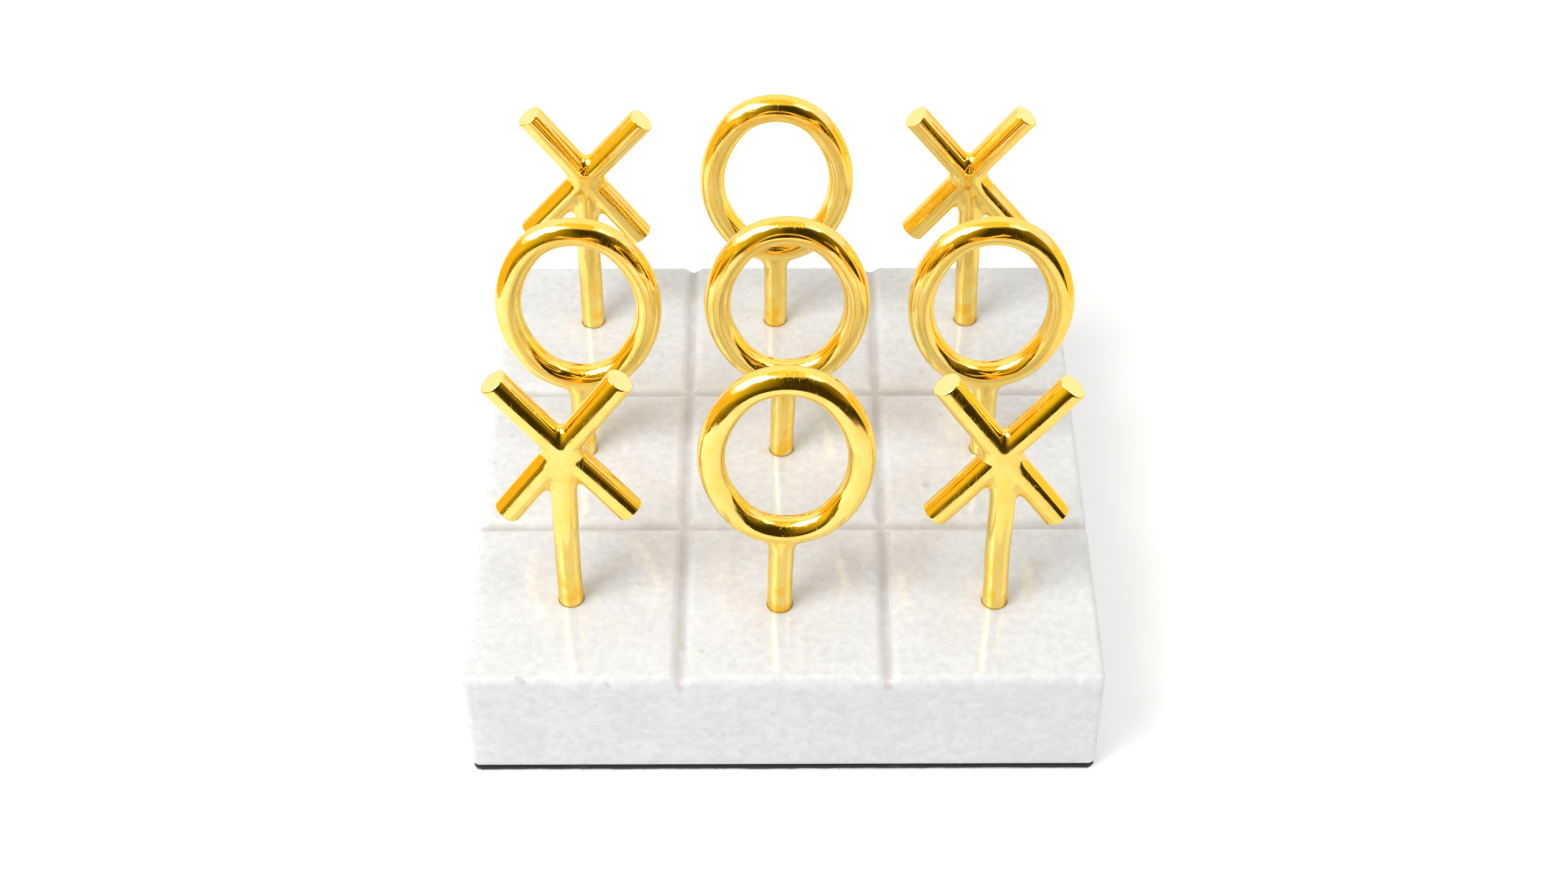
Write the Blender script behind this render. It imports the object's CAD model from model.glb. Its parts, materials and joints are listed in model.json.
"""A marble tic-tac-toe board with brass noughts and crosses, dressed for the camera.

The board is a polished block with milled grooves and drilled holes over a felt pad. Each nought
and each cross is brass rod, brazed and polished into one skin. Lengths are in metres.
"""

import json
import math

import bpy
import numpy as np
from mathutils import Euler, Matrix, Vector

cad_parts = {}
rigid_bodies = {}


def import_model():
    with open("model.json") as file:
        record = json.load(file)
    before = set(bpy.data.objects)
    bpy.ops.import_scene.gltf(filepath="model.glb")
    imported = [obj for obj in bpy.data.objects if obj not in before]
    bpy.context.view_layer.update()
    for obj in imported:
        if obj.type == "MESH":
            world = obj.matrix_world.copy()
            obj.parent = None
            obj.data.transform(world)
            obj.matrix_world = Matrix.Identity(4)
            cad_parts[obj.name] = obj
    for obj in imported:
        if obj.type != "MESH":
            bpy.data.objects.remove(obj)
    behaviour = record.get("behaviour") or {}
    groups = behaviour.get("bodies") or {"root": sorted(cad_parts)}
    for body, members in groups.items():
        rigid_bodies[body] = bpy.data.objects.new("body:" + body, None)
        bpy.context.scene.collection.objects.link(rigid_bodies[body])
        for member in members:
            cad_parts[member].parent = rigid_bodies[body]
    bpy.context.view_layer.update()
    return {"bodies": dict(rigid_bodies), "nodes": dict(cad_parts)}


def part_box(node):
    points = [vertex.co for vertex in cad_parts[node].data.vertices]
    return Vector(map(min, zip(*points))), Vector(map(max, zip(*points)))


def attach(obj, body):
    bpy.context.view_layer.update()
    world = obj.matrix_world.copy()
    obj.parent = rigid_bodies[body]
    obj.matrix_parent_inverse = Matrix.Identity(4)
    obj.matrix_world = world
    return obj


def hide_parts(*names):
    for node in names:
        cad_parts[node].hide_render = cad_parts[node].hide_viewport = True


MM = 0.001
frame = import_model()

# The bodies of the nine figures, from the front left square to the back right one
FIGURES = [
    next(body for body in frame["bodies"] if body.endswith(f"_{row}_{column}"))
    for row in ("front", "middle", "back") for column in ("left", "centre", "right")
]

# Sizes that the frame gives
block_low, block_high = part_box("marble_block")
pad_low, pad_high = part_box("felt_pad")
block_top = block_high.z

# Sizes of the block's finish. The three cells are the meshes' steps on the flats, in the grooves
# and on the brass, whose mesh is then settled onto its formula in a few rounds
EDGE_R = 2.2 * MM
EDGE_STEPS = 5
GROOVE_AT = 28.8 * MM
GROOVE_HALF = 3.4 * MM
GROOVE_DEPTH = 1.8 * MM
GROOVE_RUN_OUT = 4.0 * MM
GROOVE_WANDER = 0.35 * MM
WANDER_LENGTH = 22 * MM
FLAT_CELL = 2.4 * MM
GROOVE_CELL = 0.34 * MM
SKIN_CELL = 0.4 * MM
SETTLE_ROUNDS = 4
HOLE_R = 3.65 * MM
HOLE_LIP = 0.14 * MM
HOLE_FLOOR = 15.0 * MM
HOLE_SIDES = 64
# Where the lip of a hole is chipped, as turns round it in radians, and how deep in millimetres
CHIPS = ((0.4, 0.16), (1.7, 0.28), (2.5, 0.12), (4.1, 0.22), (5.3, 0.3))
CHIP_SPREAD = 0.13

# The stage: a white table in front of a dark room, with windows to both sides, under a white
# sky and two softboxes. Turns are in degrees round the board from the side where the camera
# is, and grow to its right. The lifts are what the table adds of its own: plain white where
# the camera sees it, and tinted where the brass mirrors it to the left and to the right
FLOOR_HALF = 3.0
FLOOR_WHITE = (0.79, 0.79, 0.785)
FLOOR_LIFT = 0.32
LIFT_LEFT = (0.5, 0.32, 0.5)
LIFT_RIGHT = (0.35, 0.18, 0.0)
LIFT_REACH = 0.25
TABLE_FRONT = 0.235
TABLE_SIDE = 0.24
ROOM_R = 1.3
ROOM_TOP = 2.0
ROOM_FOOT = 0.5 * MM
ROOM_TURNS = (-66, 70)
ROOM_COLOUR = (1, 0.72, 0.03)
ROOM_GLOW = 0.045
LEFT_GLOW = 1.0
RIGHT_GLOW = 0.24
HIGH_GLOW = 0.4
WALL_R = 1.35
WALL_FOOT = 0.3 * MM
LEFT_WALL = (1.04, 0.63, 0.045)
LEFT_WALL_TURNS = (-122, -62)
LEFT_WALL_TOP = 0.35
RIGHT_WALL = (1.25, 0.85, 0.2)
RIGHT_WALL_TURNS = (68, 128)
RIGHT_WALL_TOP = 0.4
WINDOW_R = 1.2
LEFT_WINDOW = (2.6, 2.75, 5)
LEFT_WINDOW_TURNS = (-100, -50)
LEFT_WINDOW_HEIGHTS = (0.5, 1.9)
RIGHT_WINDOW = (1.05, 1.05, 1.4)
RIGHT_WINDOW_TURNS = (76, 122)
RIGHT_WINDOW_HEIGHTS = (0.14, 0.95)
CEILING = (1.05, 0.8, 0.16)
CEILING_Z = 2.1
CEILING_HALF_W = 0.9
CEILING_FRONT = -1.2
CEILING_BACK = 0.6
SKY_LIGHT = 0.56
SKY_MIRRORED = (1.2, 1.12, 0.95)
LAMPS_AIM_AT = (0, 0, 0.05)

# The camera, fitted to the block's corners, grooves and holes
PICTURE_W = 2576
FOCAL_PIXELS = 4059
SENSOR_W = 36
CAMERA_SIDE = -1.8 * MM
CAMERA_BACK = -533.8 * MM
CAMERA_ABOVE = 519 * MM
CAMERA_TILT = 46.13
CAMERA_TURN = -0.23

# Sizes of the felt
FELT_CORNER_R = 2.0 * MM
FELT_SIDE_STEPS = 70
FELT_CORNER_STEPS = 10
FELT_RAGGED = 0.35 * MM
FIBRE_LENGTH = 0.9 * MM
FIBRE_R = 0.025 * MM

# Sizes of the brass work. The middles of a ring's end and side arcs lie so many times as far
# out as it is higher than wide, and the arcs meet where a line out from the middle of the end
# arc rises by RING_RISE
RIM_R = 0.4 * MM
ARM_FILLET = 2.5 * MM
STEM_FILLET = 3.4 * MM
END_ARC_OUT = 1.5
SIDE_ARC_OUT = 2
RING_RISE = 3 / 4
RING_BROADER = 0.1
ARM_BROADER = 0.05
ARM_FREE = 19 * MM
SAWN_BAND = 0.05 * MM
STEM_STRAIGHT = 1.5 * MM
STEM_LOOSENS = 12 * MM
STEM_LEAN = 0.4
STEM_TAPER = 0.03
HAND_BEND = 0.12 * MM
HAND_WAVE = 34 * MM
HAND_WAVES = 3
WAVE_GROWTH = 0.4
STAIN_TOP = 22 * MM

# Colours of the finishes
BRASS_AMBER = (1.0, 0.712, 0.158, 1)
BRASS_YELLOW = (1.0, 0.742, 0.205, 1)
BRASS_STAIN = (1.0, 0.56, 0.02, 1)
BRASS_SAWN = (1.0, 0.8, 0.36, 1)
BRASS_PIT = (0.42, 0.26, 0.04, 1)
BRASS_EDGE = (1, 0.92, 0.55, 1)
MARBLE_GREY = (0.72, 0.744, 0.756, 1)
MARBLE_WHITE = (0.876, 0.895, 0.908, 1)
MARBLE_FLECK = (0.60, 0.62, 0.57, 1)
MARBLE_CRYSTAL = (0.95, 0.95, 0.95, 1)
MARBLE_GRIME = (0.56, 0.52, 0.48, 1)
FELT_BLACK = (0.004, 0.004, 0.005, 1)
FELT_GREY = (0.022, 0.02, 0.02, 1)
FELT_DUST = (0.09, 0.062, 0.045, 1)


def new_object(name, mesh, *materials):
    """Links a mesh as an object at the origin, with its materials."""
    piece = bpy.data.objects.new(name, mesh)
    bpy.context.scene.collection.objects.link(piece)
    for material in materials:
        mesh.materials.append(material)
    return piece


def baked(piece, name):
    """The piece's mesh with its modifiers worked in, in place of the piece."""
    graph = bpy.context.evaluated_depsgraph_get()
    mesh = bpy.data.meshes.new_from_object(piece.evaluated_get(graph))
    mesh.name = name
    bpy.data.objects.remove(piece)
    return mesh


def mesh_from(name, points, faces):
    mesh = bpy.data.meshes.new(name)
    mesh.from_pydata([tuple(p) for p in points], [], [tuple(f) for f in faces])
    mesh.validate()
    mesh.update()
    return mesh


def walls_between(rings, sides):
    """Quads between so many rings of points that follow one another, each with so many sides."""
    faces = []
    for ring in range(rings - 1):
        a, b = ring * sides, (ring + 1) * sides
        for i in range(sides):
            j = (i + 1) % sides
            faces.append((a + i, a + j, b + j, b + i))
    return faces


# Brass figures, as skins round distance formulas. Each rod runs in the figure's own upright
# plane, so a formula first gives the distance to the rods' middles within that plane, where
# they run together with fillets, and then the distance to a round rod about them


def joined(a, b, fillet):
    """Two distances run together with a fillet, as brazing filler does."""
    near = np.maximum(fillet - np.abs(a - b), 0) / fillet
    return np.minimum(a, b) - near * near * fillet / 4


def cut_by(a, b):
    """A shape cut by another distance, with a small rounded rim where they meet."""
    near = np.maximum(RIM_R - np.abs(a - b), 0) / RIM_R
    return np.maximum(a, b) + near * near * RIM_R / 4


def smooth_step(value, low, high):
    t = np.clip((value - low) / (high - low), 0, 1)
    return t * t * (3 - 2 * t)


def half_line(x, z, direction, start=(0, 0)):
    """Distance in the plane to a line that leaves start in a direction, and how far along it."""
    x, z = x - start[0], z - start[1]
    along = x * direction[0] + z * direction[1]
    across = np.abs(x * direction[1] - z * direction[0])
    return np.where(along < 0, np.hypot(x, z), across), along


def oval_line(x, z, half_w, half_h):
    """Distance in the plane to an oval of four arcs that is centred on the origin."""
    slack = half_h - half_w
    x, z = np.abs(x), np.abs(z)
    end_z = END_ARC_OUT * slack
    side_x = SIDE_ARC_OUT * slack
    by_end = np.abs(np.hypot(x, z - end_z) - (half_h - end_z))
    by_side = np.abs(np.hypot(x + side_x, z) - (half_w + side_x))
    return np.where(z - end_z > RING_RISE * x, by_end, by_side)


def hand_bend(p, seed):
    """How far slow waves push each point, so that no rod is quite straight or round."""
    draw = np.random.default_rng(seed)
    push = np.zeros_like(p)
    for step in range(HAND_WAVES):
        direction = draw.normal(size=3)
        direction /= np.linalg.norm(direction)
        phase = draw.uniform(0, math.tau)
        shift = draw.normal(size=3)
        shift /= np.linalg.norm(shift)
        swing = np.sin(p @ direction * math.tau / (HAND_WAVE * (1 + WAVE_GROWTH * step)) + phase)
        push += shift * (HAND_BEND * swing)[:, None]
    return push


def settle(points, distance):
    """Points moved onto a distance formula's zero surface, and the surface's normals there."""
    nudge = SKIN_CELL * 0.05
    slope = np.stack([
        distance(points + step) - distance(points - step) for step in np.eye(3) * nudge
    ], 1) / (2 * nudge)
    steepness = np.linalg.norm(slope, axis=1, keepdims=True)
    return points - slope * distance(points)[:, None] / steepness ** 2, slope / steepness


def skin(name, distance, low, high):
    """A closed quad mesh on the zero surface of a distance formula, with its true normals."""
    low = np.array(low) - 4 * SKIN_CELL
    high = np.array(high) + 4 * SKIN_CELL
    counts = np.ceil((high - low) / SKIN_CELL).astype(int) + 1
    axes = [low[i] + SKIN_CELL * np.arange(counts[i]) for i in range(3)]
    grid = np.stack(np.meshgrid(*axes, indexing="ij"), -1).reshape(-1, 3)
    inside = (distance(grid) < 0).reshape(counts)
    corners = np.stack([
        inside[i:counts[0] - 1 + i, j:counts[1] - 1 + j, k:counts[2] - 1 + k]
        for i in (0, 1) for j in (0, 1) for k in (0, 1)
    ])
    mixed = corners.any(0) & ~corners.all(0)
    index = np.full(mixed.shape, -1)
    index[mixed] = np.arange(mixed.sum())
    points = low + (np.argwhere(mixed) + 0.5) * SKIN_CELL
    faces = []
    for axis in range(3):
        first, second = [a for a in range(3) if a != axis]
        here = np.take(inside, range(counts[axis] - 1), axis)
        there = np.take(inside, range(1, counts[axis]), axis)
        for leaving in (True, False):
            spot = np.argwhere((here & ~there) if leaving else (~here & there))
            ring = []
            for a, b in ((0, 0), (-1, 0), (-1, -1), (0, -1)):
                cells = spot.copy()
                cells[:, first] += a
                cells[:, second] += b
                ring.append(index[cells[:, 0], cells[:, 1], cells[:, 2]])
            flip = leaving == (axis == 1)
            faces.append(np.stack(ring[::-1] if flip else ring, 1))
    for _ in range(SETTLE_ROUNDS):
        points, normals = settle(points, distance)
    mesh = mesh_from(name, points, np.concatenate(faces).tolist())
    mesh.polygons.foreach_set("use_smooth", [True] * len(mesh.polygons))
    mesh.normals_split_custom_set_from_vertices([tuple(n) for n in normals])
    return mesh


def mesh_points(mesh):
    co = np.zeros(len(mesh.vertices) * 3)
    mesh.vertices.foreach_get("co", co)
    return co.reshape(-1, 3)


def rod_ends(node, through):
    """The two ends of a straight rod along its own axis, counted from a point on it."""
    co = mesh_points(frame["nodes"][node].data)
    axis = np.linalg.svd(co - co.mean(0), full_matrices=False)[2][0]
    along = (co - through) @ axis
    return axis * along.min(), axis * along.max()


def stem_line(body):
    """The middle of a stem's foot, and the stem's radius."""
    low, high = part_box(body + "_stem")
    middle = (low + high) / 2
    return np.array((middle.x, middle.y, low.z)), (high.x - low.x) / 2


def on_stem(body, centre, radius, seed, figure_line, meeting):
    """The distance formula of a figure on its stem, and where its stem's foot is.
    figure_line gives the figure's own distance in its plane, and meeting is how high there
    the stem meets it. The stem's line stops a fillet lower, to swell only the underside."""
    foot, stem_r = stem_line(body)
    above = block_top + STEM_STRAIGHT

    def distance(p):
        free = smooth_step(p[:, 2], above, above + STEM_LOOSENS)
        q = p - centre + hand_bend(p, seed) * free[:, None]
        x, z = q[:, 0], q[:, 2]
        line = figure_line(x, z)
        height = smooth_step(p[:, 2], above, centre[2] + meeting)
        lean = (foot[0] - centre[0]) * (1 - STEM_LEAN * height)
        stem = half_line(x - lean, z, (0, -1), (0, meeting - STEM_FILLET))[0]
        share = stem / (stem + np.abs(line) + 1e-9)
        thickness = stem_r * (1 + STEM_TAPER * height)
        rod_r = thickness + (radius - thickness) * share
        together = joined(line, stem, STEM_FILLET)
        round_rod = np.hypot(np.maximum(together, 0), q[:, 1]) - rod_r
        return cut_by(round_rod, foot[2] - p[:, 2])

    return distance, foot - stem_r * np.array((1, 1, 0))


def nought(body, seed):
    """The skin of a ring on its stem. The rod is a little broader at its top and bottom."""
    low, high = (np.array(v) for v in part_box(body + "_ring"))
    centre = (low + high) / 2
    radius = (high[1] - low[1]) / 2
    half_w = (high[0] - low[0]) / 2 - radius
    half_h = (high[2] - low[2]) / 2 - radius

    def ring_line(x, z):
        upright = z * z / (x * x + z * z + 1e-12)
        return oval_line(x, z, half_w, half_h) * (1 - RING_BROADER * upright)

    distance, foot = on_stem(body, centre, radius, seed, ring_line, -half_h)
    return skin(body, distance, np.minimum(low, foot), high)


def cross(body, seed):
    """The skin of a cross on its stem, with its four sawn arm ends, which the attribute sawn
    marks. The arms are a little broader across than front to back."""
    long_low, long_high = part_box(body + "_long_rod")
    centre = np.array((long_low + long_high) / 2)
    radius = (long_high.y - long_low.y) / 2
    ends = list(rod_ends(body + "_long_rod", centre))
    for part, up in (("_upper_rod", 1), ("_lower_rod", -1)):
        ends.append(max(rod_ends(body + part, centre), key=lambda e: up * e[2]))
    arms = [(end[[0, 2]] / np.linalg.norm(end), np.linalg.norm(end)) for end in ends]

    def arm_lines(x, z):
        line = None
        for direction, _ in arms:
            here = half_line(x, z, direction)[0]
            line = here if line is None else joined(line, here, ARM_FILLET)
        return line * (1 - ARM_BROADER)

    whole, foot = on_stem(body, centre, radius, seed, arm_lines, 0)

    def distance(p):
        q = p - centre
        sawn = whole(p)
        out = np.hypot(q[:, 0], q[:, 2]) > ARM_FREE
        for direction, length in arms:
            across, along = half_line(q[:, 0], q[:, 2], direction)
            near = out & (across < 2 * radius)
            sawn = np.where(near, cut_by(sawn, along - length), sawn)
        return sawn

    low = np.min(ends, 0) + centre - radius
    high = np.max(ends, 0) + centre + radius
    mesh = skin(body, distance, np.minimum(low, foot), high)
    q = mesh_points(mesh) - centre
    flat_end = np.zeros(len(q))
    for direction, length in arms:
        across, along = half_line(q[:, 0], q[:, 2], direction)
        flat_end[(across < 2 * radius) & (along > length - SAWN_BAND)] = 1
    mesh.attributes.new("sawn", "FLOAT", "POINT").data.foreach_set("value", flat_end)
    return mesh


# Node trees


def feed(tree, socket, value):
    """Gives an input a value, another node's output, or the first output of a node."""
    if isinstance(value, bpy.types.Node):
        value = next(output for output in value.outputs if output.enabled)
    if isinstance(value, bpy.types.NodeSocket):
        tree.links.new(value, socket)
    elif value is not None:
        socket.default_value = value


def add(tree, kind, *values, **settings):
    """Adds a node with its settings, and feeds the values to its open inputs in order."""
    made = tree.nodes.new(kind)
    for name, setting in settings.items():
        setattr(made, name, setting)
    for socket, value in zip([s for s in made.inputs if s.enabled], values):
        feed(tree, socket, value)
    return made


def maths(tree, operation, *values):
    return add(tree, "ShaderNodeMath", *values, operation=operation)


def vectors(tree, operation, *values):
    return add(tree, "ShaderNodeVectorMath", *values, operation=operation)


def ramp(tree, value, low, high, to_low=0.0, to_high=1.0, smooth=True):
    """Maps a value from one range to another, and holds it at the ends."""
    kind = "SMOOTHSTEP" if smooth else "LINEAR"
    return add(
        tree, "ShaderNodeMapRange", value, low, high, to_low, to_high, interpolation_type=kind
    )


def blend(tree, share, first, second):
    """Mixes two colours."""
    return add(tree, "ShaderNodeMix", share, first, second, data_type="RGBA")


def sockets(tree, inputs, outputs):
    """Names a tree's inputs, each with its kind and first value, and its outputs."""
    for name, (kind, value) in inputs.items():
        socket = tree.interface.new_socket(name, in_out="INPUT", socket_type="NodeSocket" + kind)
        if value is not None:
            socket.default_value = value
    for name, kind in outputs.items():
        tree.interface.new_socket(name, in_out="OUTPUT", socket_type="NodeSocket" + kind)
    return tree.nodes.new("NodeGroupInput").outputs, tree.nodes.new("NodeGroupOutput").inputs


def grown(piece, tree, values):
    """The mesh that a geometry tree makes of a piece, with the inputs given by name."""
    grower = piece.modifiers.new(tree.name, "NODES")
    grower.node_group = tree
    for item in tree.interface.items_tree:
        if item.in_out == "INPUT" and item.name in values:
            value = values[item.name]
            grower[item.identifier] = tuple(value) if isinstance(value, Vector) else value
    return baked(piece, piece.name)


# The marble block


def grid_lines(half, dense=()):
    """Places of a box's grid lines along one axis: close together at the rounded edges and
    in the dense stretches, and FLAT_CELL apart or less between them."""
    edge = [
        half - EDGE_R + EDGE_R * math.tan(i * math.pi / 4 / EDGE_STEPS) for i in range(EDGE_STEPS + 1)
    ]
    lines = edge + [-e for e in edge]
    stops = [-(half - EDGE_R)]
    for low, high in dense:
        count = math.ceil((high - low) / GROOVE_CELL)
        lines += list(np.linspace(low, high, count + 1))
        stops += [low, high]
    stops.append(half - EDGE_R)
    for low, high in zip(stops[::2], stops[1::2]):
        lines += list(np.linspace(low, high, math.ceil((high - low) / FLAT_CELL) + 1))
    return np.unique(np.round(lines, 7))


def gridded_box(x_lines, y_lines, z_lines):
    """A closed box of quads along the grid lines."""
    points, index, faces = [], {}, []

    def corner(*place):
        if place not in index:
            index[place] = len(points)
            points.append(place)
        return index[place]

    lines = [[float(v) for v in each] for each in (x_lines, y_lines, z_lines)]
    for axis in range(3):
        u, v = (axis + 1) % 3, (axis + 2) % 3
        for side in (0, -1):
            for i in range(len(lines[u]) - 1):
                for j in range(len(lines[v]) - 1):
                    ring = []
                    for a, b in ((0, 0), (1, 0), (1, 1), (0, 1)):
                        place = [0, 0, 0]
                        place[axis] = lines[axis][side]
                        place[u] = lines[u][i + a]
                        place[v] = lines[v][j + b]
                        ring.append(corner(*place))
                    faces.append(ring if side else ring[::-1])
    return mesh_from("gridded_box", points, faces)


def drill_cutter():
    """What a drill takes out of the stone: a hole with a worn lip, chipped here and there."""
    profile = [(HOLE_R, -HOLE_FLOOR), (HOLE_R, -HOLE_LIP)]
    for turn in (0.5, 1.0, 1.4):
        profile.append((HOLE_R + HOLE_LIP * (1 - math.cos(turn)), HOLE_LIP * (math.sin(turn) - 1)))
    profile += [(HOLE_R + 1.2 * HOLE_LIP, 0.3 * MM), (HOLE_R + 1.2 * HOLE_LIP, 3 * MM)]
    points = []
    for level, (radius, z) in enumerate(profile):
        for i in range(HOLE_SIDES):
            turn = math.tau * i / HOLE_SIDES
            chipped = 0
            if level >= 3:
                chipped = sum(
                    depth * MM * math.exp(-(math.remainder(turn - at, math.tau) / CHIP_SPREAD) ** 2)
                    for at, depth in CHIPS
                )
            r = radius + chipped
            points.append((r * math.cos(turn), r * math.sin(turn), z))
    tip = tuple(range(HOLE_SIDES))[::-1]
    lid = tuple(range(len(points) - HOLE_SIDES, len(points)))
    faces = walls_between(len(profile), HOLE_SIDES) + [tip, lid]
    return mesh_from("drill_cutter", points, faces)


def grooved_slab_tree():
    """Geometry nodes that round a gridded box, mill two grooves each way and drill its holes.
    They leave how deep the stone was milled, from 0 to 1, in the attribute milled."""
    tree = bpy.data.node_groups.new("grooved_slab", "GeometryNodeTree")
    given, result = sockets(tree, {
        "Slab": ("Geometry", None),
        "Middle": ("Vector", None),
        "Half Size": ("Vector", None),
        "Edge Radius": ("Float", EDGE_R),
        "Groove Offset": ("Float", GROOVE_AT),
        "Groove Half Width": ("Float", GROOVE_HALF),
        "Groove Depth": ("Float", GROOVE_DEPTH),
        "Run Out": ("Float", GROOVE_RUN_OUT),
        "Wander": ("Float", GROOVE_WANDER),
        "Wander Length": ("Float", WANDER_LENGTH),
        "Hole Spots": ("Object", None),
        "Drill": ("Object", None),
        "Seed": ("Int", 3),
        "Stone": ("Material", None),
    }, {"Block": "Geometry"})

    place = add(tree, "GeometryNodeInputPosition")
    from_middle = vectors(tree, "SUBTRACT", place, given["Middle"])
    core = vectors(tree, "SUBTRACT", given["Half Size"], given["Edge Radius"])
    minus_core = add(tree, "ShaderNodeVectorMath", core, operation="SCALE")
    minus_core.inputs["Scale"].default_value = -1
    inner = vectors(tree, "MINIMUM", vectors(tree, "MAXIMUM", from_middle, minus_core), core)
    outward = vectors(tree, "NORMALIZE", vectors(tree, "SUBTRACT", from_middle, inner))
    cover = vectors(tree, "MULTIPLY", outward, given["Edge Radius"])
    rounded = vectors(tree, "ADD", vectors(tree, "ADD", inner, cover), given["Middle"])
    slab = add(tree, "GeometryNodeSetPosition", given["Slab"], None, rounded)

    frequency = maths(tree, "DIVIDE", 1, given["Wander Length"])
    wave = add(
        tree, "ShaderNodeTexNoise", None, given["Seed"], frequency, 1, noise_dimensions="4D"
    )
    drift = vectors(tree, "MULTIPLY", vectors(tree, "SUBTRACT", wave.outputs["Color"], (0.5,) * 3),
                    given["Wander"])
    wandered = add(tree, "ShaderNodeSeparateXYZ", vectors(tree, "ADD", from_middle, drift))
    depths = []
    for axis in (0, 1):
        across = maths(tree, "SUBTRACT", maths(tree, "ABSOLUTE", wandered.outputs[axis]),
                       given["Groove Offset"])
        share = maths(tree, "DIVIDE", across, given["Groove Half Width"])
        held = maths(tree, "MINIMUM", maths(tree, "ABSOLUTE", share), 1)
        lobe = maths(tree, "COSINE", maths(tree, "MULTIPLY", held, math.pi))
        depths.append(maths(tree, "MULTIPLY_ADD", lobe, 0.5, 0.5))
    deepest = maths(tree, "MAXIMUM", *depths)
    height = add(tree, "ShaderNodeSeparateXYZ", from_middle).outputs["Z"]
    half_height = add(tree, "ShaderNodeSeparateXYZ", given["Half Size"]).outputs["Z"]
    below_top = maths(tree, "SUBTRACT", half_height, height)
    fade_end = maths(tree, "ADD", given["Edge Radius"], given["Run Out"])
    reach = ramp(tree, below_top, given["Edge Radius"], fade_end, 1.0, 0.0)
    milled = maths(tree, "MULTIPLY", deepest, reach)
    down = add(tree, "ShaderNodeCombineXYZ", 0, 0,
               maths(tree, "MULTIPLY", milled, maths(tree, "MULTIPLY", given["Groove Depth"], -1)))
    marked = add(tree, "GeometryNodeStoreNamedAttribute", slab, None, "milled", milled,
                 data_type="FLOAT", domain="POINT")
    grooved = add(tree, "GeometryNodeSetPosition", marked, None, None, down)

    spots = add(tree, "GeometryNodeObjectInfo", given["Hole Spots"])
    drill = add(tree, "GeometryNodeObjectInfo", given["Drill"])
    turn = add(tree, "FunctionNodeRandomValue", (0, 0, 0), (0, 0, math.tau), None, given["Seed"],
               data_type="FLOAT_VECTOR")
    turned = add(tree, "FunctionNodeEulerToRotation", turn)
    drills = add(tree, "GeometryNodeInstanceOnPoints", spots.outputs["Geometry"])
    feed(tree, drills.inputs["Instance"], drill.outputs["Geometry"])
    feed(tree, drills.inputs["Rotation"], turned)
    drilled = add(tree, "GeometryNodeMeshBoolean", operation="DIFFERENCE", solver="EXACT")
    feed(tree, drilled.inputs["Mesh 1"], grooved)
    feed(tree, drilled.inputs["Mesh 2"], drills)
    smooth = add(tree, "GeometryNodeSetShadeSmooth", drilled)
    whole = add(tree, "GeometryNodeRealizeInstances", smooth)
    feed(tree, result["Block"], add(tree, "GeometryNodeSetMaterial", whole, None, given["Stone"]))
    return tree


def marble_block(stone):
    """The polished block, with its holes where the stems stand."""
    half = (block_high - block_low) / 2
    middle = (block_high + block_low) / 2
    band = GROOVE_HALF + GROOVE_WANDER
    dense = [(side * GROOVE_AT - band, side * GROOVE_AT + band) for side in (-1, 1)]
    box = gridded_box(grid_lines(half.x, dense), grid_lines(half.y, dense), grid_lines(half.z))
    box.transform(Matrix.Translation(middle))
    slab = new_object("marble_block_polished", box)
    feet = [stem_line(body)[0] for body in FIGURES]
    spots = new_object("hole_spots", mesh_from("hole_spots", [(x, y, block_top) for x, y, _ in feet], []))
    drill = new_object("drill", drill_cutter())
    mesh = grown(slab, grooved_slab_tree(), {
        "Middle": middle, "Half Size": half, "Edge Radius": EDGE_R, "Groove Offset": GROOVE_AT,
        "Groove Half Width": GROOVE_HALF, "Groove Depth": GROOVE_DEPTH, "Run Out": GROOVE_RUN_OUT,
        "Wander": GROOVE_WANDER, "Hole Spots": spots, "Drill": drill, "Stone": stone,
    })
    bpy.data.objects.remove(spots)
    bpy.data.objects.remove(drill)
    shaded = new_object("marble_block_shading", mesh)
    shaded.modifiers.new("flats_lead", "WEIGHTED_NORMAL")
    return baked(shaded, "marble_block_polished")


# The felt pad


def pad_outline():
    """Points round a square with rounded corners, and the outward direction at each."""
    half = (pad_high.x - pad_low.x) / 2
    straight = half - FELT_CORNER_R
    points, outward = [], []
    for quarter in range(4):
        turn = quarter * math.pi / 2
        c, s = math.cos(turn), math.sin(turn)
        local = [(half, -straight + 2 * straight * i / FELT_SIDE_STEPS, 0) for i in range(FELT_SIDE_STEPS)]
        for i in range(FELT_CORNER_STEPS):
            a = math.pi / 2 * i / FELT_CORNER_STEPS
            local.append((straight + FELT_CORNER_R * math.cos(a),
                          straight + FELT_CORNER_R * math.sin(a), a))
        for x, y, a in local:
            points.append((x * c - y * s, x * s + y * c))
            outward.append((math.cos(turn + a), math.sin(turn + a)))
    return np.array(points), np.array(outward)


def ragged(count, seed):
    """An uneven cut round a closed outline of so many points: slow swings and short nicks."""
    draw = np.random.default_rng(seed)
    turn = np.arange(count) * math.tau / count
    cut = np.zeros(count)
    for waves, size in ((7, 0.3), (19, 0.3), (41, 0.25), (83, 0.25)):
        cut += size * np.sin(waves * turn + draw.uniform(0, math.tau))
    return cut + draw.normal(0, 0.18, count)


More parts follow.
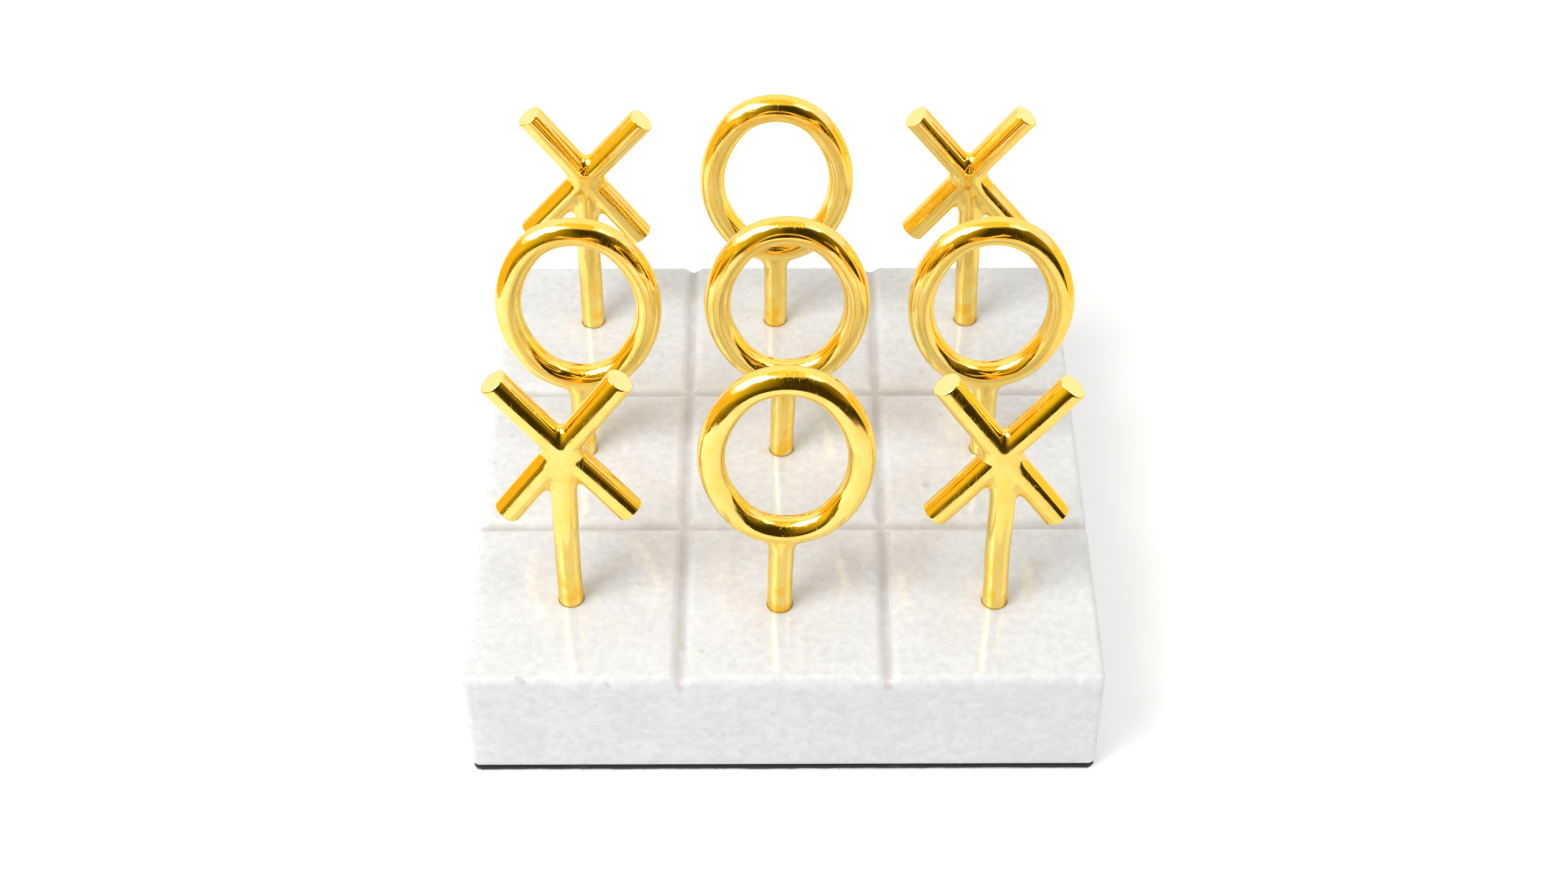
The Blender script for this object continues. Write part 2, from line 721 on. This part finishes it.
def felt_pad():
    """The felt, cut a little unevenly and bulging where the block presses it flat."""
    outline, outward = pad_outline()
    thick = pad_high.z - pad_low.z
    # Rows round the pad: the share of the outline, then how far in and up in thicknesses
    top, bottom = [], []
    for inner in (0.25, 0.5, 0.72, 0.88, 0.96):
        top.append((inner, 0, 0.97))
        bottom.append((inner, 0, 0.0))
    rim = [(1, 0.5, 0.0), (1, 0.12, 0.12), (1, -0.1, 0.35),
           (1, -0.16, 0.6), (1, -0.02, 0.84), (1, 0.25, 0.97)]
    rows = bottom + rim + top[::-1]
    draw = np.random.default_rng(12)
    points = []
    for number, (inner, inset, level) in enumerate(rows):
        cut = ragged(len(outline), 5 + number // 2) * FELT_RAGGED * (0.4 if inner == 1 else 0)
        flat = outline * inner + outward * (cut - inset * thick)[:, None]
        lift = draw.uniform(0, 0.03, len(outline)) * thick
        z = pad_low.z + level * thick + (lift if level == 0 else 0)
        points += [(x, y, h) for (x, y), h in zip(flat, np.broadcast_to(z, len(outline)))]
    count = len(outline)
    faces = walls_between(len(rows), count)
    last = len(points) - count
    points += [(0, 0, pad_low.z), (0, 0, pad_low.z + 0.97 * thick)]
    for i in range(count):
        j = (i + 1) % count
        faces.append((len(points) - 2, j, i))
        faces.append((len(points) - 1, last + i, last + j))
    mesh = mesh_from("felt_pad_cut", points, faces)
    mesh.polygons.foreach_set("use_smooth", [True] * len(mesh.polygons))
    return mesh


def loose_fibres_tree():
    """Geometry nodes that stand curled fibres on the rim of a piece of felt."""
    tree = bpy.data.node_groups.new("loose_fibres", "GeometryNodeTree")
    given, result = sockets(tree, {
        "Felt": ("Geometry", None),
        "Fibres Per Area": ("Float", 1.0e6),
        "Fibre Length": ("Float", FIBRE_LENGTH),
        "Fibre Radius": ("Float", FIBRE_R),
        "Curl": ("Float", 0.5 * MM),
        "Table": ("Float", 0.0),
        "Seed": ("Int", 5),
        "Wool": ("Material", None),
    }, {"Fibres": "Geometry"})
    facing = add(tree, "ShaderNodeSeparateXYZ", add(tree, "GeometryNodeInputNormal")).outputs["Z"]
    on_rim = maths(tree, "LESS_THAN", maths(tree, "ABSOLUTE", facing), 0.8)
    roots = add(tree, "GeometryNodeDistributePointsOnFaces", given["Felt"], on_rim)
    feed(tree, roots.inputs["Density"], given["Fibres Per Area"])
    feed(tree, roots.inputs["Seed"], given["Seed"])
    tip = add(tree, "ShaderNodeCombineXYZ", 0, 0, given["Fibre Length"])
    straight = add(tree, "GeometryNodeCurvePrimitiveLine", (0, 0, 0), tip)
    strand = add(tree, "GeometryNodeResampleCurve", straight)
    strand.inputs["Count"].default_value = 5
    lean = add(tree, "FunctionNodeRandomValue", (-1.3, -1.3, 0), (1.3, 1.3, math.tau), None,
               given["Seed"], data_type="FLOAT_VECTOR")
    turned = add(tree, "FunctionNodeRotateRotation", roots.outputs["Rotation"],
                 add(tree, "FunctionNodeEulerToRotation", lean), rotation_space="LOCAL")
    size = add(tree, "FunctionNodeRandomValue", 0.25, 1.2, None, given["Seed"], data_type="FLOAT")
    stood = add(tree, "GeometryNodeInstanceOnPoints", roots.outputs["Points"])
    feed(tree, stood.inputs["Instance"], strand)
    feed(tree, stood.inputs["Rotation"], turned)
    feed(tree, stood.inputs["Scale"], size)
    strands = add(tree, "GeometryNodeRealizeInstances", stood)
    wave = add(tree, "ShaderNodeTexNoise", None, given["Seed"], 1 / (0.8 * MM), 1, noise_dimensions="4D")
    swing = vectors(tree, "MULTIPLY", vectors(tree, "SUBTRACT", wave.outputs["Color"], (0.5,) * 3),
                    given["Curl"])
    along = add(tree, "GeometryNodeSplineParameter").outputs["Factor"]
    curl = add(tree, "ShaderNodeVectorMath", swing, operation="SCALE")
    feed(tree, curl.inputs["Scale"], along)
    curled = add(tree, "GeometryNodeSetPosition", strands, None, None, curl)
    place = add(tree, "ShaderNodeSeparateXYZ", add(tree, "GeometryNodeInputPosition"))
    lowest = maths(tree, "ADD", given["Table"], given["Fibre Radius"])
    above = maths(tree, "MAXIMUM", place.outputs["Z"], lowest)
    resting = add(tree, "ShaderNodeCombineXYZ", place.outputs["X"], place.outputs["Y"], above)
    rested = add(tree, "GeometryNodeSetPosition", curled, None, resting)
    section = add(tree, "GeometryNodeCurvePrimitiveCircle", 3, None, None, None, given["Fibre Radius"])
    feed(tree, section.inputs["Radius"], given["Fibre Radius"])
    solid = add(tree, "GeometryNodeCurveToMesh", rested, section)
    whole = add(tree, "GeometryNodeRealizeInstances", solid)
    feed(tree, result["Fibres"], add(tree, "GeometryNodeSetMaterial", whole, None, given["Wool"]))
    return tree


# Materials


def material_tree(name):
    material = bpy.data.materials.new(name)
    material.use_nodes = True
    return material, material.node_tree, material.node_tree.nodes["Principled BSDF"]


def tone_group():
    """Soft patches of one size, from 0 to 1, as clouds in stone, tarnish and dust all have."""
    tree = bpy.data.node_groups.new("uneven_tone", "ShaderNodeTree")
    given, result = sockets(tree, {
        "Patch Size": ("Float", 10 * MM),
        "Detail": ("Float", 3.0),
        "Low": ("Float", 0.35),
        "High": ("Float", 0.65),
        "Shift": ("Float", 0.0),
    }, {"Mask": "Float"})
    place = add(tree, "ShaderNodeTexCoord").outputs["Object"]
    moved = vectors(tree, "ADD", place, given["Shift"])
    frequency = maths(tree, "DIVIDE", 1, given["Patch Size"])
    patches = add(tree, "ShaderNodeTexNoise", moved, frequency, given["Detail"])
    feed(tree, result["Mask"], ramp(tree, patches.outputs["Fac"], given["Low"], given["High"]))
    return tree


def marks_group():
    """Marks of handling: sparse pits and fine scratches, as a mask of each and one height."""
    tree = bpy.data.node_groups.new("handling_marks", "ShaderNodeTree")
    given, result = sockets(tree, {
        "Pit Spacing": ("Float", 3 * MM),
        "Pit Share": ("Float", 0.2),
        "Pit Size": ("Float", 0.12),
        "Scratch Spacing": ("Float", 1.5 * MM),
        "Scratch Depth": ("Float", 0.3),
    }, {"Pits": "Float", "Scratches": "Float", "Height": "Float"})
    place = add(tree, "ShaderNodeTexCoord").outputs["Object"]
    pits_apart = maths(tree, "DIVIDE", 1, given["Pit Spacing"])
    cells = add(tree, "ShaderNodeTexVoronoi", place, pits_apart, feature="F1")
    chosen = maths(tree, "LESS_THAN", add(tree, "ShaderNodeSeparateColor", cells.outputs["Color"]),
                   given["Pit Share"])
    hollow = ramp(tree, cells.outputs["Distance"], 0.0, given["Pit Size"], 1.0, 0.0)
    pits = maths(tree, "MULTIPLY", hollow, chosen)
    scratches = None
    for angles, stretch in (((0.5, 0.3, 1.1), 14), ((2.1, 1.2, 0.2), 18)):
        turned = add(tree, "ShaderNodeMapping", place, None, angles, (1, 1, 1 / stretch))
        frequency = maths(tree, "DIVIDE", 1, given["Scratch Spacing"])
        streaks = add(tree, "ShaderNodeTexNoise", turned, frequency, 1).outputs["Fac"]
        middle = maths(tree, "ABSOLUTE", maths(tree, "SUBTRACT", streaks, 0.5))
        thin = ramp(tree, middle, 0.0, 0.012, 1.0, 0.0)
        here = add(tree, "ShaderNodeTexNoise", place, 1 / (6 * MM), 1).outputs["Fac"]
        rare = ramp(tree, here, 0.5, 0.62)
        line = maths(tree, "MULTIPLY", thin, rare)
        scratches = line if scratches is None else maths(tree, "MAXIMUM", scratches, line)
    deep = maths(tree, "ADD", pits, maths(tree, "MULTIPLY", scratches, given["Scratch Depth"]))
    feed(tree, result["Pits"], pits)
    feed(tree, result["Scratches"], scratches)
    feed(tree, result["Height"], maths(tree, "MULTIPLY", deep, -1))
    return tree


uneven_tone = tone_group()
handling_marks = marks_group()


def placed(tree, group, **values):
    """A group placed in a material's tree with its own values."""
    made = add(tree, "ShaderNodeGroup", node_tree=group)
    for name, value in values.items():
        feed(tree, made.inputs[name.replace("_", " ").title()], value)
    return made


def bump(tree, shader, height, depth, normal=None):
    """Raises a surface by a height of 0 to 1 times a depth in metres."""
    made = add(tree, "ShaderNodeBump")
    made.inputs["Strength"].default_value = 1
    made.inputs["Distance"].default_value = depth
    feed(tree, made.inputs["Height"], height)
    if normal is not None:
        feed(tree, made.inputs["Normal"], normal)
    if shader is not None:
        feed(tree, shader.inputs["Normal"], made)
    return made


def polished_brass():
    """Hand-polished brass: bright and yellow, duller in patches, with a little tarnish low
    on the stems, pits and scratches."""
    material, tree, shader = material_tree("polished_brass")
    place = add(tree, "ShaderNodeTexCoord").outputs["Object"]
    height = add(tree, "ShaderNodeSeparateXYZ", place).outputs["Z"]
    low_down = ramp(tree, height, block_top, block_top + STAIN_TOP, 1.0, 0.25)
    tarnish = placed(tree, uneven_tone, patch_size=5 * MM, detail=4, low=0.42, high=0.62)
    stained = maths(tree, "MULTIPLY", tarnish, low_down)
    marks = placed(tree, handling_marks, pit_spacing=2.6 * MM, pit_share=0.16, pit_size=0.1,
                   scratch_spacing=1.6 * MM)
    warm = placed(tree, uneven_tone, patch_size=13 * MM, detail=2, shift=0.7)
    colour = blend(tree, warm, BRASS_AMBER, BRASS_YELLOW)
    colour = blend(tree, stained, colour, BRASS_STAIN)
    sawn = add(tree, "ShaderNodeAttribute", attribute_name="sawn").outputs["Fac"]
    colour = blend(tree, sawn, colour, BRASS_SAWN)
    colour = blend(tree, marks.outputs["Pits"], colour, BRASS_PIT)
    feed(tree, shader.inputs["Base Color"], colour)
    dull = placed(tree, uneven_tone, patch_size=5 * MM, detail=4, shift=0.3)
    roughness = ramp(tree, dull, 0.0, 1.0, 0.05, 0.13)
    feed(tree, shader.inputs["Roughness"], maths(tree, "MULTIPLY_ADD", stained, 0.12, roughness))
    shader.inputs["Metallic"].default_value = 1
    shader.inputs["Specular Tint"].default_value = BRASS_EDGE
    shader.inputs["Coat Weight"].default_value = 0.5
    shader.inputs["Coat Roughness"].default_value = 0.04
    waves = placed(tree, uneven_tone, patch_size=4 * MM, detail=1, low=0.2, high=0.8, shift=0.1)
    wavy = bump(tree, None, waves, 0.011 * MM)
    rubbed = placed(tree, uneven_tone, patch_size=0.5 * MM, detail=3, low=0.2, high=0.8, shift=0.9)
    wavy = bump(tree, None, rubbed, 0.0025 * MM, wavy)
    bump(tree, shader, marks.outputs["Height"], 0.03 * MM, wavy)
    return material


def white_marble():
    """Fine-grained white marble: cloudy, with soft grey grains, a few greenish flecks and
    bright crystals, polished on its flats and duller where it was milled."""
    material, tree, shader = material_tree("white_marble")
    place = add(tree, "ShaderNodeTexCoord").outputs["Object"]
    clouds = placed(tree, uneven_tone, patch_size=14 * MM, detail=5, low=0.3, high=0.7)
    mottle = placed(tree, uneven_tone, patch_size=2.6 * MM, detail=8, low=0.32, high=0.68, shift=0.4)
    fine = add(tree, "ShaderNodeTexVoronoi", place, 1 / (0.9 * MM), feature="F1")
    crystal = add(tree, "ShaderNodeSeparateColor", fine.outputs["Color"])
    twist = add(tree, "ShaderNodeTexNoise", place, 1 / (5 * MM), 3)
    pull = add(tree, "ShaderNodeVectorMath", twist.outputs["Color"], operation="SCALE")
    pull.inputs["Scale"].default_value = 5 * MM
    cells = add(tree, "ShaderNodeTexVoronoi", vectors(tree, "ADD", place, pull), 1 / (6 * MM),
                feature="DISTANCE_TO_EDGE")
    seams = ramp(tree, cells, 0.0, 0.2, 1.0, 0.0)
    tone = maths(tree, "MULTIPLY_ADD", mottle, 0.42, maths(tree, "MULTIPLY", clouds, 0.22))
    tone = maths(tree, "MULTIPLY_ADD", crystal.outputs["Red"], 0.2, tone)
    tone = maths(tree, "MULTIPLY_ADD", seams, 0.16, tone)
    colour = blend(tree, tone, MARBLE_GREY, MARBLE_WHITE)
    flecks = placed(tree, uneven_tone, patch_size=5 * MM, detail=6, low=0.66, high=0.76, shift=1.3)
    colour = blend(tree, maths(tree, "MULTIPLY", flecks, 0.7), colour, MARBLE_FLECK)
    bright = maths(tree, "GREATER_THAN", crystal.outputs["Green"], 0.992)
    near = ramp(tree, fine.outputs["Distance"], 0.15, 0.4, 1.0, 0.0)
    sparkle = maths(tree, "MULTIPLY", bright, near)
    colour = blend(tree, sparkle, colour, MARBLE_CRYSTAL)
    milled = add(tree, "ShaderNodeAttribute", attribute_name="milled").outputs["Fac"]
    grime = placed(tree, uneven_tone, patch_size=9 * MM, detail=4, low=0.2, high=0.75, shift=2.1)
    caught = maths(tree, "MULTIPLY_ADD", grime, 0.4, 0.2)
    dirty = maths(tree, "MULTIPLY", ramp(tree, milled, 0.4, 1.0), caught)
    colour = blend(tree, dirty, colour, MARBLE_GRIME)
    feed(tree, shader.inputs["Base Color"], colour)
    roughness = ramp(tree, tone, 0.0, 1.0, 0.16, 0.08)
    feed(tree, shader.inputs["Roughness"], maths(tree, "MULTIPLY_ADD", milled, 0.3, roughness))
    shader.inputs["Subsurface Weight"].default_value = 0.6
    shader.inputs["Subsurface Radius"].default_value = (1, 0.95, 0.9)
    shader.inputs["Subsurface Scale"].default_value = 5 * MM
    marks = placed(tree, handling_marks, pit_spacing=6 * MM, pit_share=0.15, pit_size=0.07,
                   scratch_spacing=5 * MM)
    grain_bump = bump(tree, None, tone, 0.012 * MM)
    bump(tree, shader, marks.outputs["Height"], 0.03 * MM, grain_bump)
    return material


def black_felt():
    """Pressed black felt with paler dust and brown fluff caught in it."""
    material, tree, shader = material_tree("black_felt")
    place = add(tree, "ShaderNodeTexCoord").outputs["Object"]
    hairs = add(tree, "ShaderNodeTexNoise", place)
    hairs.inputs["Scale"].default_value = 1 / (0.35 * MM)
    hairs.inputs["Detail"].default_value = 4
    hairs.inputs["Distortion"].default_value = 2
    dust = placed(tree, uneven_tone, patch_size=5 * MM, detail=5, low=0.6, high=0.85)
    colour = blend(tree, hairs.outputs["Fac"], FELT_BLACK, FELT_GREY)
    colour = blend(tree, dust, colour, FELT_DUST)
    feed(tree, shader.inputs["Base Color"], colour)
    shader.inputs["Roughness"].default_value = 0.95
    shader.inputs["Sheen Weight"].default_value = 0.25
    shader.inputs["Sheen Roughness"].default_value = 0.6
    bump(tree, shader, hairs.outputs["Fac"], 0.12 * MM)
    return material


def backdrop(name, colour, strength):
    """A plain glow, for what only reflections see."""
    material, tree, shader = material_tree(name)
    tree.nodes.remove(shader)
    glow = add(tree, "ShaderNodeEmission", (*colour, 1), strength)
    feed(tree, tree.nodes["Material Output"].inputs["Surface"], glow)
    return material


def seen_directly(tree):
    """1 for what the camera sees, itself or mirrored, and 0 for light on its way elsewhere."""
    path = add(tree, "ShaderNodeLightPath")
    return maths(tree, "MAXIMUM", path.outputs["Is Camera Ray"], path.outputs["Is Glossy Ray"])


def floor_white():
    """A white table top that the camera sees as plain white, with the object's shadow on it."""
    material, tree, shader = material_tree("floor_white")
    shader.inputs["Base Color"].default_value = (*FLOOR_WHITE, 1)
    shader.inputs["Roughness"].default_value = 0.7
    place = add(tree, "ShaderNodeTexCoord").outputs["Object"]
    across = add(tree, "ShaderNodeSeparateXYZ", place).outputs["X"]
    side = ramp(tree, across, -LIFT_REACH, LIFT_REACH)
    mirrored = blend(tree, side, (*LIFT_LEFT, 1), (*LIFT_RIGHT, 1))
    glossy = add(tree, "ShaderNodeLightPath").outputs["Is Glossy Ray"]
    lift = blend(tree, glossy, (FLOOR_LIFT, FLOOR_LIFT, FLOOR_LIFT, 1), mirrored)
    feed(tree, shader.inputs["Emission Color"], lift)
    feed(tree, shader.inputs["Emission Strength"], seen_directly(tree))
    return material


# The object

brass = polished_brass()
marble = white_marble()
felt = black_felt()

block = new_object("marble_block_polished", marble_block(marble))
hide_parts("marble_block")
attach(block, "board")

for seed, body in enumerate(FIGURES, start=7):
    make = nought if body.startswith("nought") else cross
    figure = new_object(body + "_figure", make(body, seed), brass)
    parts = [n for n in frame["nodes"] if n.startswith(body + "_")]
    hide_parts(*parts)
    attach(figure, body)

pad = new_object("felt_pad_pressed", felt_pad(), felt)
fringe_roots = new_object("felt_fringe", pad.data.copy())
fibres = grown(fringe_roots, loose_fibres_tree(), {"Table": pad_low.z, "Wool": felt})
fringe = new_object("felt_fringe", fibres)
for piece in (pad, fringe):
    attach(piece, "board")
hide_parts("felt_pad")


# Stage, lights and camera

floor = new_object("floor", mesh_from("floor", [
    (-FLOOR_HALF, -FLOOR_HALF, 0), (FLOOR_HALF, -FLOOR_HALF, 0),
    (FLOOR_HALF, FLOOR_HALF, 0), (-FLOOR_HALF, FLOOR_HALF, 0),
], [(0, 1, 2, 3)]), floor_white())


def mirrored_only(piece):
    """Leaves a piece of the stage to be seen in reflections alone."""
    piece.visible_camera = False
    piece.visible_diffuse = False
    piece.visible_shadow = False
    piece.visible_transmission = False


def mirrored_wall(name, turns, heights, reach, finish, table=False):
    """An upright wall round the room between two turns and two heights. With a table, the wall's
    floor comes in to the table's straight edges, in front of the board and at its sides."""
    low, high = heights
    steps = 24
    points, faces = [], []
    for i in range(steps + 1):
        turn = math.radians(turns[0] + (turns[1] - turns[0]) * i / steps)
        side, ahead = math.sin(turn), -math.cos(turn)
        points += [(reach * side, reach * ahead, high), (reach * side, reach * ahead, low)]
        if table:
            near = min(TABLE_FRONT / max(-ahead, 0.01), TABLE_SIDE / max(abs(side), 0.01))
            points.append((near * side, near * ahead, low))
    rows = 3 if table else 2
    for i in range(steps):
        for j in range(rows - 1):
            k = rows * i + j
            faces.append((k, k + 1, k + rows + 1, k + rows))
    mirrored_only(new_object(name, mesh_from(name, points, faces), finish))


def room_finish():
    """Dark warm walls: darkest straight ahead, paler to both sides and high up."""
    material = backdrop("room_dark", ROOM_COLOUR, ROOM_GLOW)
    tree = material.node_tree
    place = add(tree, "ShaderNodeSeparateXYZ", add(tree, "ShaderNodeTexCoord").outputs["Object"])
    left = ramp(tree, place.outputs["X"], -0.9 * ROOM_R, 0.0, LEFT_GLOW, ROOM_GLOW, smooth=False)
    right = ramp(tree, place.outputs["X"], 0.45 * ROOM_R, 0.95 * ROOM_R, 0.0, RIGHT_GLOW)
    high = ramp(tree, place.outputs["Z"], 0.65 * ROOM_TOP, ROOM_TOP, 0.0, HIGH_GLOW)
    glow = maths(tree, "ADD", maths(tree, "ADD", left, right), high)
    feed(tree, tree.nodes["Emission"].inputs["Strength"], glow)
    return material


left_wall = backdrop("left_wall", LEFT_WALL, 1)
right_wall = backdrop("right_wall", RIGHT_WALL, 1)
left_window = backdrop("left_window", LEFT_WINDOW, 1)
right_window = backdrop("right_window", RIGHT_WINDOW, 1)
mirrored_wall("dark_room", ROOM_TURNS, (ROOM_FOOT, ROOM_TOP), ROOM_R, room_finish(), table=True)
mirrored_wall("left_wall", LEFT_WALL_TURNS, (WALL_FOOT, LEFT_WALL_TOP), WALL_R, left_wall, table=True)
mirrored_wall("right_wall", RIGHT_WALL_TURNS, (WALL_FOOT, RIGHT_WALL_TOP), WALL_R, right_wall, table=True)
mirrored_wall("left_window", LEFT_WINDOW_TURNS, LEFT_WINDOW_HEIGHTS, WINDOW_R, left_window)
mirrored_wall("right_window", RIGHT_WINDOW_TURNS, RIGHT_WINDOW_HEIGHTS, WINDOW_R, right_window)
mirrored_only(new_object("ceiling", mesh_from("ceiling", [
    (-CEILING_HALF_W, CEILING_FRONT, CEILING_Z), (-CEILING_HALF_W, CEILING_BACK, CEILING_Z),
    (CEILING_HALF_W, CEILING_BACK, CEILING_Z), (CEILING_HALF_W, CEILING_FRONT, CEILING_Z),
], [(0, 1, 2, 3)]), backdrop("ceiling_dim", CEILING, 1)))


def softbox(name, place, size, watts, colour=(1, 1, 1)):
    """A square lamp of so many metres across, aimed at the board."""
    lamp = bpy.data.lights.new(name, "AREA")
    lamp.shape = "RECTANGLE"
    lamp.size = lamp.size_y = size
    lamp.energy = watts
    lamp.color = colour
    holder = bpy.data.objects.new(name, lamp)
    bpy.context.scene.collection.objects.link(holder)
    holder.location = place
    aim = Vector(LAMPS_AIM_AT) - Vector(place)
    holder.rotation_euler = aim.to_track_quat("-Z", "Y").to_euler()


softbox("key_left", place=(-0.67, -0.54, 1.15), size=0.67, watts=11.9, colour=(1, 0.995, 0.985))
softbox("fill_right", place=(0.88, -0.32, 1.2), size=0.48, watts=2.4)

world = bpy.data.worlds.new("studio_white")
bpy.context.scene.world = world
world.use_nodes = True
sky = world.node_tree.nodes["Background"]
mirrored = add(world.node_tree, "ShaderNodeLightPath").outputs["Is Glossy Ray"]
sky_colour = blend(world.node_tree, mirrored, (1, 1, 1, 1), (*SKY_MIRRORED, 1))
feed(world.node_tree, sky.inputs["Color"], sky_colour)
seen = seen_directly(world.node_tree)
sky_strength = ramp(world.node_tree, seen, 0, 1, SKY_LIGHT, 1.0, smooth=False)
feed(world.node_tree, sky.inputs["Strength"], sky_strength)

camera_data = bpy.data.cameras.new("camera")
camera_data.sensor_width = SENSOR_W
camera_data.lens = SENSOR_W * FOCAL_PIXELS / PICTURE_W
camera = bpy.data.objects.new("camera", camera_data)
bpy.context.scene.collection.objects.link(camera)
camera.location = (CAMERA_SIDE, CAMERA_BACK, block_top + CAMERA_ABOVE)
camera.rotation_euler = Euler((math.radians(CAMERA_TILT), 0, math.radians(CAMERA_TURN)))
bpy.context.scene.camera = camera
bpy.context.scene.view_settings.view_transform = "Standard"
